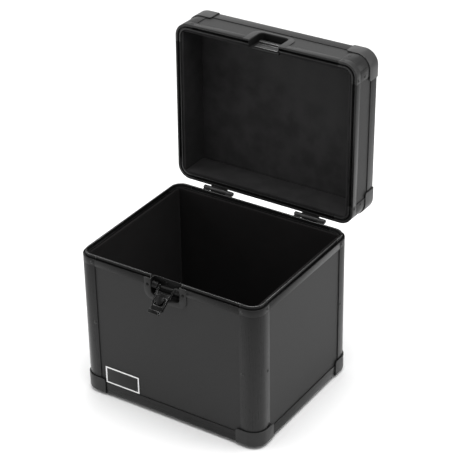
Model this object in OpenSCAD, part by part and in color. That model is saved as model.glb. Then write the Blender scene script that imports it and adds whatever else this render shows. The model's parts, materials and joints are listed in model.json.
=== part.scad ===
// Record carrying case: a box of thin boards held in edge profiles, with a deep hinged
// lid. Lengths are in millimetres. The origin is the centre of the base board's underside,
// +Z is up, and the latch is on the -Y side. The model is in the pose with the lid open.

/* [Case] */
// Width over the edge profiles
case_w = 360; // [340:5:420]
// Depth over the edge profiles
case_d = 300; // [280:5:380]
// Height from the base board's underside to the parting plane
case_h = 268; // [220:2:320]
// Height from the parting plane to the outside of the lid's top board
lid_h = 71; // [66:1:110]
// Radius of the upright corners, in plan
corner_r = 25; // [22:1:28]
// Thickness of the boards
panel_t = 7; // [5:0.5:9]

/* [Edge profiles] */
// Wall of the posts, rims and edge profiles
skin_t = 1.5; // [1.2:0.1:2]
// Reach of a corner post from the corner, along each face
post_w = 36; // [33:1:42]
// Height of the base and top edge profiles, up the wall
edge_h = 20.5; // [16:0.5:24]
// Width of the base and top edge profiles, under the board
edge_w = 22; // [16:1:26]
// Outside rounding of the base and top edges
edge_r = 3.5; // [2.5:0.5:5]
// Play between a board and the profile that holds it
board_gap = 0.2; // [0.1:0.05:0.4]

/* [Corner caps] */
// Wall of the corner caps
cap_t = 1.8; // [1.4:0.1:2.4]
// Reach of a cap from the corner, along each face
cap_w = 45; // [40:1:52]
// Height of a cap up the corner
cap_h = 28; // [24:1:34]
// Rounding of the caps' free corners
cap_tip_r = 5; // [3:0.5:7]
// Gap between a cap and the profiles under it
cap_gap = 0.1; // [0.05:0.05:0.2]

/* [Rims] */
// Height of the rim profile's flanges
rim_h = 13; // [10:0.5:16]
// Distance from the outside face to the tongue
tongue_in = 4.5; // [4:0.25:5.5]
// Thickness of the tongue
tongue_t = 2.5; // [2:0.1:2.8]
// Height of the tongue
tongue_h = 5.5; // [4:0.25:6.5]
// Play of the tongue in the groove, on each side and over its top
groove_gap = 0.5; // [0.45:0.05:0.7]
// Wall of the groove
groove_t = 1.2; // [1:0.1:1.4]
// Gap between the closed rims
parting_gap = 0.4; // [0.2:0.1:0.8]
// Depth of the slots on both sides of the tongue
slot_d = 3; // [2:0.5:4]
// Play of the tongue at each side in the wider groove of the lid's straight rims
wide_play = 1.2; // [0.8:0.1:1.3]
// Extra depth of the groove in the lid's straight rims
wide_more = 2.5; // [1:0.5:3]

/* [Lining] */
// Distance from the outside face to the lining's inside face
lining_in = 15.5; // [14.8:0.1:17]
// Thickness of the pad on the base board
floor_pad_t = 3; // [2:0.5:6]
// Thickness of the pad in the lid
lid_pad_t = 5; // [3:0.5:8]

/* [Badge] */
// Width of the plain badge plate
badge_w = 72; // [50:1:90]
// Height of the plain badge plate
badge_h = 35; // [20:1:40]
// Thickness of the plain badge plate
badge_t = 0.8; // [0.5:0.1:1.4]
// Distance from the post's edge to the badge plate
badge_in = 9.5; // [6:0.5:20]

/* [Feet] */
// Radius of a rubber foot
foot_r = 14; // [10:1:18]
// Height of a rubber foot
foot_h = 6.5; // [5.5:0.5:12]
// Distance of the feet's centres from the outside faces
foot_in = 55; // [50:1:80]

/* [Rivets] */
// Radius of a rivet's head
rivet_r = 3.1; // [2.5:0.1:4]
// Height of a rivet's head
rivet_h = 1.1; // [0.8:0.1:1.6]
// Distance of the post rivets from the corner
rivet_in = 30.5; // [29:0.5:31]

/* [Hinges] */
// Distance between the hinges' centres
hinge_span = 190; // [150:5:220]
// Width of a hinge
hinge_w = 60; // [48:2:70]
// Thickness of a hinge leaf
leaf_t = 2; // [1.5:0.1:2.5]
// Length of a leaf down or up the wall
leaf_h = 44; // [34:1:48]
// Distance of the hinge axis from the rear face
hinge_out = 8; // [7.5:0.25:9.5]
// Outside radius of the hinge barrel
barrel_r = 4; // [3.6:0.1:4.4]
// Radius of the hinge pin
hinge_pin_r = 2; // [1.5:0.1:2.2]
// Width of the lid's knuckle
lid_knuckle_w = 34; // [24:1:40]
// Side play between knuckles
knuckle_gap = 0.3; // [0.2:0.1:0.6]
// Gap that the hinge stop keeps at rest
stop_gap = 0.1; // [0.05:0.05:0.3]
// Opening angle at which the lid rests on its hinge stops
lid_open = 91; // [90:1:95]

/* [Latch] */
// Half width of the latch dish's opening
pan_x = 29; // [27:0.5:33]
// Depth of the dish's opening below the parting plane
pan_drop = 31; // [29:1:40]
// Width of the latch dish's flange below the opening
latch_low = 9; // [8:0.5:12]
// Height of the catch dish's opening above the parting plane
catch_rise = 39; // [37.5:0.5:42]
// Width of the catch dish's flange beyond the opening
catch_low = 5; // [4:0.5:8]
// Depth of the catch dish
pan_d = 15; // [14.2:0.2:17]
// Depth of the latch dish
latch_pan_d = 13; // [12.6:0.2:15]
// Sheet thickness of both dishes
pan_t = 1.2; // [1:0.1:1.5]
// Width of the dishes' flanges at the sides
flange_w = 13; // [10:0.5:14]
// Depth of the latch's pivot behind the front face
pivot_in = 6.5; // [6.2:0.1:6.8]
// Distance of the latch's pivot below the parting plane
pivot_drop = 13; // [12:0.5:15]
// Radius of the latch's pivot pin
latch_pin_r = 2; // [1.6:0.1:2.2]
// Width of the latch arm
arm_w = 26; // [24:0.5:28]
// Sheet thickness of the latch arm
arm_t = 1.5; // [1.2:0.1:1.8]
// Distance from the pivot to the arm plate's near edge
arm_near = 10; // [9:0.5:11]
// Distance from the pivot to the butterfly's centre
cam_at = 25; // [24:0.5:26]
// Distance from the pivot to the hook's outer end, in its open place
hook_end = 50; // [49.5:0.1:50.5]
// Sheet thickness of the hook
hook_t = 1.8; // [1.5:0.1:2]
// Stroke of the hook when the butterfly turns half a turn
hook_stroke = 6; // [5:0.5:6.5]
// Angle of the latch arm below horizontal as it hangs open
arm_drop_deg = 37; // [36:0.5:38]
// Radius of a butterfly wing
wing_r = 9.2; // [8.5:0.1:9.3]
// Sheet thickness of a wing
wing_t = 1.6; // [1.2:0.1:1.8]
// Radius of the latch springs' wire
wire_r = 0.7; // [0.5:0.05:0.8]
// Turns of each latch spring
spring_turns = 5; // [4:1:6]

/* [Handle] */
// Distance between the handle's arms
handle_w = 132; // [120:2:150]
// Reach of the handle from its pivot to its grip
handle_reach = 40; // [36:1:50]
// Radius of the handle's steel bow
bow_r = 3.5; // [3:0.25:4]
// Radius of the grip
grip_r = 10; // [9:0.5:11]
// Length of the grip
grip_len = 100; // [90:1:104]
// Distance of the handle's pivot from the top board
handle_up = 12; // [11.5:0.25:14]

/* [Hidden] */
$fn = 48;
run_gap = 0.05;                                   // radial play of a pin in its bore
eps = 0.01;                                       // overlap of cutters past a face
board_in = skin_t + panel_t;                      // outside face to a board's inside face
shell_in = board_in + board_gap;                  // outside face to the inner flanges
inner_in = shell_in + skin_t;                     // outside face to the profiles' inside
board_end = corner_r + skin_t + board_gap;        // corner to the end of a board
front_board = case_w - 2 * board_end;
side_board = case_d - 2 * board_end;
front_run = case_w - 2 * post_w;
side_run = case_d - 2 * post_w;
groove_depth = tongue_h + groove_gap - parting_gap;
hinge_y = case_d / 2 + hinge_out;
hinge_z = case_h + tongue_h / 2;
latch_y = -case_d / 2 + pivot_in;
latch_z = case_h - pivot_drop;
arm_open = 90 + arm_drop_deg;
handle_hang = lid_open - 90;
pan_gap = 0.3;                                    // dish in the board's cut-out
flange_gap = 0.2;                                 // rim cut back beside a dish flange

// ---- Places -------------------------------------------------------------------------

// Draws the lid's parts, made like a low case that stands on its top board, in the
// open lid: turned over onto the parting plane, then swung back about the hinge axis.
module in_lid() {
  translate([0, hinge_y, hinge_z])
    rotate([-lid_open, 0, 0])
      translate([0, -hinge_y, -hinge_z])
        translate([0, 0, case_h + lid_h])
          mirror([0, 0, 1])
            children();
}

// Draws a section (first axis inwards from the outside face, second axis up) along one
// wall: 0 front, 1 rear, 2 left, 3 right.
module along_wall(wall, run) {
  if (wall < 2)
    mirror([0, wall, 0])
      translate([-run / 2, -case_d / 2, 0])
        rotate([90, 0, 90])
          linear_extrude(run)
            children();
  else
    mirror([wall - 2, 0, 0])
      translate([-case_w / 2, run / 2, 0])
        rotate([90, 0, 0])
          linear_extrude(run)
            children();
}

// Draws its children at each of the four upright corners, with the corner at the origin
// and the walls along +X and +Y.
module at_corners() {
  for (right = [0, 1], rear = [0, 1])
    mirror([right, 0, 0])
      mirror([0, rear, 0])
        translate([-case_w / 2, -case_d / 2, 0])
          children();
}

// Carries a section round the corner's arc and on along both legs.
module round_corner(reach) {
  translate([corner_r, corner_r, 0])
    rotate([0, 0, 180])
      rotate_extrude(angle = 90)
        translate([corner_r, 0])
          mirror([1, 0])
            children();
  translate([corner_r, 0, 0])
    rotate([90, 0, 90])
      linear_extrude(reach - corner_r)
        children();
  translate([0, reach, 0])
    rotate([90, 0, 0])
      linear_extrude(reach - corner_r)
        children();
}

// ---- Shared shapes --------------------------------------------------------------------

module rounded_board(inset, thickness) {
  w = case_w - 2 * inset;
  d = case_d - 2 * inset;
  r = corner_r - inset;
  linear_extrude(thickness) {
    square([w, d - 2 * r], center = true);
    square([w - 2 * r, d], center = true);
    for (x = [-1, 1], y = [-1, 1])
      translate([x * (w / 2 - r), y * (d / 2 - r)])
        circle(r);
  }
}

// A flat plate in the XZ plane with its two lower corners rounded, its front at y = 0.
module u_plate(half_w, drop, r, thickness) {
  rotate([90, 0, 0])
    translate([0, 0, -thickness])
      linear_extrude(thickness) {
        translate([-half_w, -drop + r])
          square([2 * half_w, drop - r]);
        translate([-half_w + r, -drop])
          square([2 * (half_w - r), drop]);
        for (x = [-1, 1])
          translate([x * (half_w - r), -drop + r])
            circle(r);
      }
}

// A low domed head that rises from z = 0.
module dome(r, h) {
  ball_r = (r * r + h * h) / (2 * h);
  rotate_extrude()
    intersection() {
      translate([0, h - ball_r])
        circle(ball_r);
      square([r, h]);
    }
}

module dome_front(r, h) {
  rotate([90, 0, 0])
    dome(r, h);
}

// ---- Boards ---------------------------------------------------------------------------

module end_board() {
  rounded_board(skin_t + board_gap, panel_t);
}

module wall_board(wall, height) {
  along_wall(wall, wall < 2 ? front_board : side_board)
    translate([skin_t, panel_t])
      square([panel_t, height]);
}

// Cut-out in a front board for a dish whose opening reaches drop below the rim at top.
module dish_cut(top, drop) {
  half_w = pan_x + pan_t + pan_gap;
  translate([-half_w, -case_d / 2, top - drop - pan_t - pan_gap])
    cube([2 * half_w, 2 * pan_d, drop + 2 * pan_t]);
}

module base_panel() {
  color("#3a3a3a")
    end_board();
}

// The body's boards stop at the web of the rim.
wall_h = case_h - slot_d - skin_t - panel_t;

module front_panel() {
  color("#3f3f3f")
    difference() {
      wall_board(0, wall_h);
      dish_cut(case_h, pan_drop);
    }
}

module rear_panel() {
  color("#3f3f3f")
    wall_board(1, wall_h);
}

module left_panel() {
  color("#454545")
    wall_board(2, wall_h);
}

module right_panel() {
  color("#4e4e4e")
    wall_board(3, wall_h);
}

// The lid's boards stop at the roof of the groove.
lid_board_h = lid_h - panel_t - groove_depth - wide_more - groove_t - parting_gap;

module lid_panel() {
  color("#3a3a3a")
    in_lid()
      end_board();
}

module lid_front_panel() {
  color("#5e5e5e")
    in_lid()
      difference() {
        wall_board(0, lid_board_h);
        dish_cut(lid_h, catch_rise);
      }
}

module lid_rear_panel() {
  color("#4a4a4a")
    in_lid()
      wall_board(1, lid_board_h);
}

module lid_left_panel() {
  color("#4a4a4a")
    in_lid()
      wall_board(2, lid_board_h);
}

module lid_right_panel() {
  color("#5e5e5e")
    in_lid()
      wall_board(3, lid_board_h);
}

// ---- Corner posts: a round outer wall and an inner wall that hold the boards between ----

module post_skin_section() {
  translate([corner_r, corner_r])
    intersection() {
      difference() {
        circle(corner_r);
        circle(corner_r - skin_t);
      }
      translate([-corner_r, -corner_r])
        square(corner_r);
    }
  translate([corner_r, 0])
    square([post_w - corner_r, skin_t]);
  translate([0, corner_r])
    square([skin_t, post_w - corner_r]);
}

module post_section() {
  inner_r = corner_r - shell_in;
  post_skin_section();
  translate([corner_r, corner_r])
    intersection() {
      difference() {
        circle(inner_r);
        circle(inner_r - skin_t);
      }
      translate([-corner_r, -corner_r])
        square(corner_r);
    }
  translate([corner_r, 0])
    square([skin_t, inner_in]);
  translate([0, corner_r])
    square([inner_in, skin_t]);
  translate([corner_r, shell_in])
    square([post_w - corner_r, skin_t]);
  translate([shell_in, corner_r])
    square([skin_t, post_w - corner_r]);
}

module posts(height) {
  at_corners() {
    linear_extrude(panel_t)
      post_skin_section();
    translate([0, 0, panel_t])
      linear_extrude(height - rim_h - panel_t)
        post_section();
  }
}

module corner_posts() {
  color("#4d4848")
    posts(case_h);
}

module lid_posts() {
  color("#5a5555")
    in_lid()
      posts(lid_h - parting_gap);
}

// ---- Base and top edge profiles ---------------------------------------------------------

// Half-round-edged angle: outside faces at x = out and z = -out - skin_t.
module angle_section(out, wall, reach_x, reach_z, r) {
  low = -skin_t - out;
  difference() {
    union() {
      translate([-out + r, low])
        square([reach_x + out - r, reach_z - low]);
      translate([-out, low + r])
        square([reach_x + out, reach_z - low - r]);
      translate([-out + r, low + r])
        circle(r);
    }
    translate([-out + wall, low + wall])
      square([reach_x + out + 1, reach_z - low + 1]);
  }
}

module edge_profile(wall) {
  along_wall(wall, wall < 2 ? front_run : side_run)
    angle_section(0, skin_t, edge_w, edge_h, edge_r);
}

module base_edge_front() {
  color("#464242")
    edge_profile(0);
}

module base_edge_rear() {
  color("#464242")
    edge_profile(1);
}

module base_edge_left() {
  color("#464242")
    edge_profile(2);
}

module base_edge_right() {
  color("#565151")
    edge_profile(3);
}

module lid_edge_front() {
  color("#666161")
    in_lid()
      edge_profile(0);
}

module lid_edge_rear() {
  color("#4d4848")
    in_lid()
      edge_profile(1);
}

module lid_edge_left() {
  color("#4d4848")
    in_lid()
      edge_profile(2);
}

module lid_edge_right() {
  color("#5a5555")
    in_lid()
      edge_profile(3);
}

// ---- Corner caps ------------------------------------------------------------------------

// Takes the square corner off a cap's leg, along Y, at x = cap_w and z = cap_h.
module tip_cut() {
  out = cap_t + cap_gap;
  translate([cap_w - cap_tip_r, -out - 1, cap_h - cap_tip_r])
    difference() {
      cube([cap_tip_r + 1, out + 2, cap_tip_r + 1]);
      translate([0, -1, 0])
        rotate([-90, 0, 0])
          cylinder(r = cap_tip_r, h = out + 4);
    }
}

module corner_caps() {
  out = cap_t + cap_gap;
  at_corners()
    difference() {
      round_corner(cap_w)
        angle_section(out, cap_t, corner_r, cap_h, edge_r + out);
      tip_cut();
      mirror([1, -1, 0])
        tip_cut();
    }
}

module base_corner_caps() {
  color("#484444")
    corner_caps();
}

module lid_corner_caps() {
  color("#5f5a5a")
    in_lid()
      corner_caps();
}

// ---- Rims: the case has a tongue, the lid has the groove that closes over it ---------------

module rim_flanges() {
  for (x = [0, shell_in])
    translate([x, -rim_h])
      square([skin_t, rim_h]);
}

// The tongue stands on a web that lies lower than the flanges, so a slot runs at each side.
module tongue_section() {
  web = -slot_d - skin_t;
  rim_flanges();
  translate([0, web])
    square([inner_in, skin_t]);
  translate([tongue_in, web])
    square([tongue_t, tongue_h - web]);
}

module groove_section(play, depth) {
  from = tongue_in - play;
  to = min(tongue_in + tongue_t + play, inner_in - 0.7);
  rim_flanges();
  translate([from - groove_t, -depth - groove_t])
    difference() {
      square([to - from + 2 * groove_t, depth + groove_t]);
      translate([groove_t, groove_t])
        square([to - from, depth + 1]);
    }
  translate([0, -skin_t])
    square([from, skin_t]);
  translate([to, -skin_t])
    square([inner_in - to, skin_t]);
}

module straight_rim(wall, height, lid) {
  translate([0, 0, height])
    along_wall(wall, wall < 2 ? front_run : side_run)
      if (lid)
        groove_section(wide_play, groove_depth + wide_more);
      else
        tongue_section();
}

// The front rims are cut away at the dish, and their outer flanges beside it.
module front_rim(height, lid) {
  open_w = pan_x + pan_t + pan_gap;
  notch_w = pan_x + flange_w + flange_gap;
  difference() {
    straight_rim(0, height, lid);
    translate([-open_w, -case_d / 2 - 1, height - rim_h - 1])
      cube([2 * open_w, inner_in + 2, rim_h + tongue_h + 2]);
    translate([-notch_w, -case_d / 2 - 1, height - rim_h - 1])
      cube([2 * notch_w, skin_t + 1, rim_h + tongue_h + 2]);
  }
}

module corner_rims(height, lid) {
  at_corners()
    translate([0, 0, height])
      round_corner(post_w)
        if (lid)
          groove_section(groove_gap, groove_depth);
        else
          tongue_section();
}

module rim_front() {
  color("#504b4b")
    front_rim(case_h, false);
}

module rim_rear() {
  color("#504b4b")
    straight_rim(1, case_h, false);
}

module rim_left() {
  color("#504b4b")
    straight_rim(2, case_h, false);
}

module rim_right() {
  color("#5c5757")
    straight_rim(3, case_h, false);
}

module rim_corners() {
  color("#5a5555")
    corner_rims(case_h, false);
}

lid_rim_z = lid_h - parting_gap;

module lid_rim_front() {
  color("#6a6565")
    in_lid()
      front_rim(lid_rim_z, true);
}

module lid_rim_rear() {
  color("#504b4b")
    in_lid()
      straight_rim(1, lid_rim_z, true);
}

module lid_rim_left() {
  color("#504b4b")
    in_lid()
      straight_rim(2, lid_rim_z, true);
}

module lid_rim_right() {
  color("#6a6565")
    in_lid()
      straight_rim(3, lid_rim_z, true);
}

module lid_rim_corners() {
  color("#6a6565")
    in_lid()
      corner_rims(lid_rim_z, true);
}

// ---- Rivets of the posts and rim corners ---------------------------------------------------

module post_rivets(height) {
  mid_z = (cap_h + height - rim_h) / 2;
  at_corners()
    for (z = [mid_z, height - rim_h / 2]) {
      translate([rivet_in, 0, z])
        dome_front(rivet_r, rivet_h);
      translate([0, rivet_in, z])
        rotate([0, -90, 0])
          dome(rivet_r, rivet_h);
    }
}

module case_rivets() {
  color("#2e2e2e")
    post_rivets(case_h);
}

module lid_rivets() {
  color("#2e2e2e")
    in_lid()
      post_rivets(lid_rim_z);
}

// ---- Lining ---------------------------------------------------------------------------------

// Foam sheets glued to the boards between the posts, thinner over the posts and rims,
// with square inside corners.
module lining(low, height) {
  over_post = inner_in + board_gap;
  post_r = corner_r - over_post;
  w = case_w - 2 * over_post;
  d = case_d - 2 * over_post;
  difference() {
    union() {
      translate([0, 0, low])
        linear_extrude(height - low) {
          square([w, d - 2 * post_r], center = true);
          square([w - 2 * post_r, d], center = true);
          for (x = [-1, 1], y = [-1, 1])
            translate([x * (w / 2 - post_r), y * (d / 2 - post_r)])
              circle(post_r);
        }
      translate([0, 0, low])
        linear_extrude(height - rim_h - board_gap - low) {
          square([case_w - 2 * board_in, side_run - 2 * board_gap], center = true);
          square([front_run - 2 * board_gap, case_d - 2 * board_in], center = true);
        }
    }
    translate([0, 0, low - 1])
      linear_extrude(height + 2)
        square([case_w - 2 * lining_in, case_d - 2 * lining_in], center = true);
  }
}

module lining_dish_cut(top, drop) {
  half_w = pan_x + pan_t + 2 * pan_gap;
  translate([-half_w, -case_d / 2, top - drop - pan_t - 2 * pan_gap])
    cube([2 * half_w, 2 * pan_d, drop + 2 * pan_t]);
}

module case_lining() {
  color("#171415")
    difference() {
      lining(panel_t, case_h - skin_t);
      lining_dish_cut(case_h, pan_drop);
    }
}

module floor_pad() {
  color("#171415")
    translate([0, 0, panel_t])
      linear_extrude(floor_pad_t)
        square([case_w - 2 * lining_in - board_gap, case_d - 2 * lining_in - board_gap],
               center = true);
}

module lid_lining() {
  inner = [case_w - 2 * lining_in + eps, case_d - 2 * lining_in + eps];
  color("#262626")
    in_lid()
      difference() {
        union() {
          lining(panel_t, lid_rim_z - skin_t);
          translate([0, 0, panel_t])
            linear_extrude(lid_pad_t)
              square(inner, center = true);
        }
        lining_dish_cut(lid_h, catch_rise);
      }
}

// ---- Badge and feet ---------------------------------------------------------------------------

module badge_plate() {
  color("#1d1d1d")
    translate([-case_w / 2 + post_w + badge_in, -case_d / 2 + skin_t - badge_t, edge_h + 1])
      cube([badge_w, badge_t, badge_h]);
}

module at_feet() {
  for (x = [-1, 1], y = [-1, 1])
    translate([x * (case_w / 2 - foot_in), y * (case_d / 2 - foot_in), 0])
      children();
}

foot_hole_r = 2.5;
foot_seat_r = 5;
foot_seat = 3;
screw_head_h = 1.8;

module feet() {
  color("#151515")
    at_feet()
      rotate_extrude()
        difference() {
          polygon([[0, 0], [foot_r, 0], [foot_r - 1.5, -foot_h], [0, -foot_h]]);
          translate([0, -foot_h])
            square([foot_seat_r, foot_h - foot_seat]);
          translate([0, -foot_h])
            square([foot_hole_r, foot_h]);
        }
}

module foot_screws() {
  color("silver")
    at_feet() {
      translate([0, 0, -foot_seat - screw_head_h])
        cylinder(r = foot_seat_r - 0.5, h = screw_head_h);
      translate([0, 0, -foot_seat])
        cylinder(r = foot_hole_r - 0.2, h = foot_seat);
    }
}

// ---- Latch and catch dishes -------------------------------------------------------------------

// A deep-drawn dish with a flat flange: its opening reaches drop below the rim at top, and
// the flange goes on by low.
module dish(top, drop, low, deep) {
  r = 8;
  translate([0, -case_d / 2, top])
    difference() {
      union() {
        u_plate(pan_x + flange_w, drop + low, r + flange_w - 5, skin_t);
        u_plate(pan_x + pan_t, drop + pan_t, r + pan_t, deep + pan_t);
      }
      translate([0, -eps, eps])
        u_plate(pan_x, drop + eps, r, deep + eps);
    }
}

module latch_dish() {
  color("#55504f")
    difference() {
      dish(case_h, pan_drop, latch_low, latch_pan_d);
      translate([-pan_x - 2 * pan_t, latch_y, latch_z])
        rotate([0, 90, 0])
          cylinder(r = latch_pin_r + run_gap, h = 2 * (pan_x + 2 * pan_t));
    }
}

back_rivet_r = 5;
back_rivet_x = -6;
back_rivet_down = 6;

// One rivet in the flange at each side, and a large one in the dish's back.
module latch_dish_rivets() {
  color("#6a6a6a") {
    for (side = [-1, 1])
      translate([side * (pan_x + flange_w / 2), -case_d / 2, latch_z])
        dome_front(rivet_r, rivet_h);
    translate([back_rivet_x, -case_d / 2 + latch_pan_d, case_h - back_rivet_down])
      rotate([90, 0, 0])
        cylinder(r = back_rivet_r, h = rivet_h);
  }
}

// The catch dish's flange ends just short of the lid's top edge profile.
module catch_dish() {
  drop = catch_rise - parting_gap;
  room = lid_rim_z - drop - edge_h - flange_gap;
  color("#6a6565")
    in_lid()
      dish(lid_rim_z, drop, min(catch_low, room), pan_d);
}

// Bent plate in the catch dish: a foot on the dish's back, a web and a lip that the hook
// closes over. Heights are above the parting plane.
strike_w = 44;
lip_top = 28;
lip_low = 21;
web_t = 2;
lip_t = 1.8;
lip_in = 8.9;
strike_foot_low = 7;

module catch_strike() {
  color("#8c8c8c")
    in_lid()
      translate([0, -case_d / 2, lid_h])
        rotate([90, 0, 90])
          translate([0, 0, -strike_w / 2])
            linear_extrude(strike_w) {
              translate([pan_d - lip_t, -lip_low - web_t])
                square([lip_t, lip_low + web_t - strike_foot_low]);
              translate([lip_in, -lip_low - web_t])
                square([pan_d - lip_in, web_t]);
              translate([lip_in, -lip_top])
                square([lip_t, lip_top - lip_low]);
            }
}

// ---- Latch mechanism ----------------------------------------------------------------------------
// Each part is made with the arm upright, as when it is shut: the pivot at the origin, the
// arm along +Z, the outside towards -Y. in_arm() swings it out to where it hangs open.

module in_arm() {
  translate([0, latch_y, latch_z])
    rotate([arm_open, 0, 0])
      children();
}

ear_w = 3;
ear_r = 4;
rail_t = 1.5;
rail_h = 3;
rail_near = 16;
rail_far = 32;
arm_far = 42;
shaft_r = 3;
hook_y = 0.3;
hook_near = 18;
hook_play = 0.3;
claw_r = 3.35;
claw_w = 20;
claw_drop = 6;
cam_r = 5;
cam_play = 0.8;
boss_r = 7;
boss_t = 1.2;
disc_r = 10;
disc_t = 1.5;
disc_gap = 0.2;
lug_in = 6.4;
lug_w = 2;
lug_side = 1.5;
wing_pin_r = 0.9;
knuckle_r = 1.6;
wing_gap = 0.1;
wing_x = 3.2;
wing_y = -(arm_t + disc_gap + disc_t + knuckle_r + wing_gap);
wing_clear = 2.6;

// Bent sheet arm: two ears on the pivot pin, a rolled near edge, side rails for the hook.
module latch_arm() {
  color("#7a7675")
    in_arm()
      difference() {
        union() {
          for (side = [-1, 1])
            translate([side * (arm_w / 2 + ear_w / 2) - ear_w / 2, 0, 0])
              rotate([90, 0, 90])
                linear_extrude(ear_w) {
                  circle(ear_r);
                  translate([-arm_t, 0])
                    square([2 * arm_t, rail_near]);
                }
          translate([-arm_w / 2 - ear_w, -arm_t, arm_near])
            cube([arm_w + 2 * ear_w, arm_t, rail_near - arm_near]);
          translate([-arm_w / 2 - ear_w, -arm_t / 2, arm_near])
            rotate([0, 90, 0])
              cylinder(r = arm_t, h = arm_w + 2 * ear_w);
          translate([-arm_w / 2, -arm_t, rail_near - eps])
            cube([arm_w, arm_t, arm_far - rail_near + eps]);
          for (side = [0, 1])
            mirror([side, 0, 0])
              translate([arm_w / 2 - rail_t, -eps, rail_near - 1])
                cube([rail_t, rail_h + eps, rail_far - rail_near + 1]);
        }
        rotate([0, 90, 0])
          translate([0, 0, -arm_w / 2 - 2 * ear_w])
            cylinder(r = latch_pin_r + run_gap, h = arm_w + 4 * ear_w);
        translate([0, 1, cam_at])
          rotate([90, 0, 0])
            cylinder(r = shaft_r + run_gap, h = arm_t + 2);
      }
}

// Sliding plate with a rolled claw at its end and a slot for the cam.
module latch_hook() {
  half_w = arm_w / 2 - rail_t - hook_play;
  claw_s = hook_end - claw_r;
  slot_w = cam_r + hook_stroke / 2 + cam_play;
  slot_h = cam_r + cam_play;
  color("#8c8987")
    in_arm()
      difference() {
        union() {
          translate([-half_w, hook_y, hook_near])
            cube([2 * half_w, hook_t, arm_far - 1 - hook_near]);
          translate([-claw_w / 2, hook_y, 0])
            rotate([90, 0, 90])
              linear_extrude(claw_w) {
                translate([0, arm_far - 2])
                  square([hook_t, claw_s - arm_far + 2]);
                translate([claw_r, claw_s])
                  difference() {
                    circle(claw_r);
                    circle(claw_r - hook_t);
                    translate([-claw_r - 1, -claw_r - 1])
                      square([2 * claw_r + 2, claw_r + 1]);
                  }
                translate([2 * claw_r - hook_t, hook_end - claw_drop])
                  square([hook_t, claw_drop - claw_r]);
              }
        }
        translate([-slot_w, hook_y - 1, cam_at + hook_stroke / 2 - slot_h])
          cube([2 * slot_w, hook_t + 2, 2 * slot_h]);
      }
}

// Turning disc with its shaft, the cam in the hook's slot, the boss behind it and the
// lugs that carry the wings.
module latch_cam() {
  color("#7f7b7a")
    in_arm()
      translate([0, 0, cam_at]) {
        rotate([-90, 0, 0])
          translate([0, 0, -arm_t - disc_gap - disc_t])
            cylinder(r = disc_r, h = disc_t);
        rotate([-90, 0, 0])
          translate([0, 0, -arm_t - disc_gap - eps])
            cylinder(r = shaft_r, h = arm_t + disc_gap + hook_y + 2 * eps);
        translate([0, hook_y, hook_stroke / 2])
          rotate([-90, 0, 0])
            cylinder(r = cam_r, h = hook_t + disc_gap + eps);
        translate([0, hook_y + hook_t + disc_gap, 0])
          rotate([-90, 0, 0])
            cylinder(r = boss_r, h = boss_t);
        for (side = [0, 1])
          mirror([0, 0, side])
            difference() {
              translate([-wing_x - lug_side, wing_y - knuckle_r, lug_in])
                cube([2 * (wing_x + lug_side), 2 * knuckle_r + wing_gap + eps, lug_w]);
              for (x = [-wing_x, wing_x])
                translate([x, wing_y, lug_in - 1])
                  cylinder(r = wing_pin_r + run_gap, h = lug_w + 2);
            }
      }
}

module wing_pins() {
  color("silver")
    in_arm()
      for (x = [-wing_x, wing_x])
        translate([x, wing_y, cam_at - lug_in - lug_w])
          cylinder(r = wing_pin_r, h = 2 * (lug_in + lug_w));
}

// Half-round wing that stands up from its pin, with a knuckle between the lugs.
module wing(side) {
  half_k = lug_in - 0.2;
  translate([side * wing_x, wing_y, cam_at])
    difference() {
      union() {
        translate([0, 0, -half_k])
          cylinder(r = knuckle_r, h = 2 * half_k);
        translate([-wing_t / 2, -wing_clear - 1, -half_k])
          cube([wing_t, wing_clear + 1, 2 * half_k]);
        translate([-wing_t / 2, 0, 0])
          rotate([0, 90, 0])
            linear_extrude(wing_t)
              intersection() {
                circle(wing_r);
                translate([-wing_r, -wing_r])
                  square([2 * wing_r, wing_r - wing_clear]);
              }
      }
      translate([0, 0, -half_k - 1])
        cylinder(r = wing_pin_r + run_gap, h = 2 * half_k + 2);
    }
}

module wing_left() {
  color("#6f6c6b")
    in_arm()
      wing(-1);
}

module wing_right() {
  color("#6f6c6b")
    in_arm()
      wing(1);
}

module latch_pin() {
  color("silver")
    translate([-pan_x - pan_t, latch_y, latch_z])
      rotate([0, 90, 0])
        cylinder(r = latch_pin_r, h = 2 * (pan_x + pan_t));
}

// Torsion spring on the pivot pin: a straight leg on the dish's back, the turns, and a
// straight leg beside the arm's ear. Each ring has its centre and its radial direction.
coil_r = min(5.5, latch_pan_d - pivot_in - wire_r - 0.2);
coil_gap = 0.5;
coil_pitch = 2 * wire_r + coil_gap;
coil_rings = 8;
coil_start = 90;
coil_end = arm_open + 360 * spring_turns;
coil_near = arm_w / 2 + ear_w + wire_r + 0.5;
coil_far = coil_near + coil_pitch * (coil_end - coil_start) / 360;
leg_back = latch_pan_d - pivot_in - 0.1;
leg_arm = 5;

function coil_angles() = [
  for (i = [0 : ceil((coil_end - coil_start) / 360 * coil_rings)])
    min(coil_end, coil_start + 360 * i / coil_rings)
];
function radial(a) = [0, cos(a), sin(a)];
function along(a) = [0, -sin(a), cos(a)];
function coil_point(a) =
  [coil_far - coil_pitch * (a - coil_start) / 360, 0, 0] + coil_r * radial(a);
function spring_path() = concat(
  [[coil_point(coil_start) - leg_back * along(coil_start), radial(coil_start)]],
  [for (a = coil_angles()) [coil_point(a), radial(a)]],
  [[coil_point(coil_end) + leg_arm * along(coil_end), radial(coil_end)]]
);

// Least distance between the wire's surfaces, over points half a turn or more apart.
function least_gap(path) = min([
  for (i = [0 : len(path) - 1], j = [i + coil_rings / 2 : 1 : len(path) - 1])
    norm(path[i][0] - path[j][0]) - 2 * wire_r
]);
echo(latch_spring_least_gap = least_gap(spring_path()));

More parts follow.
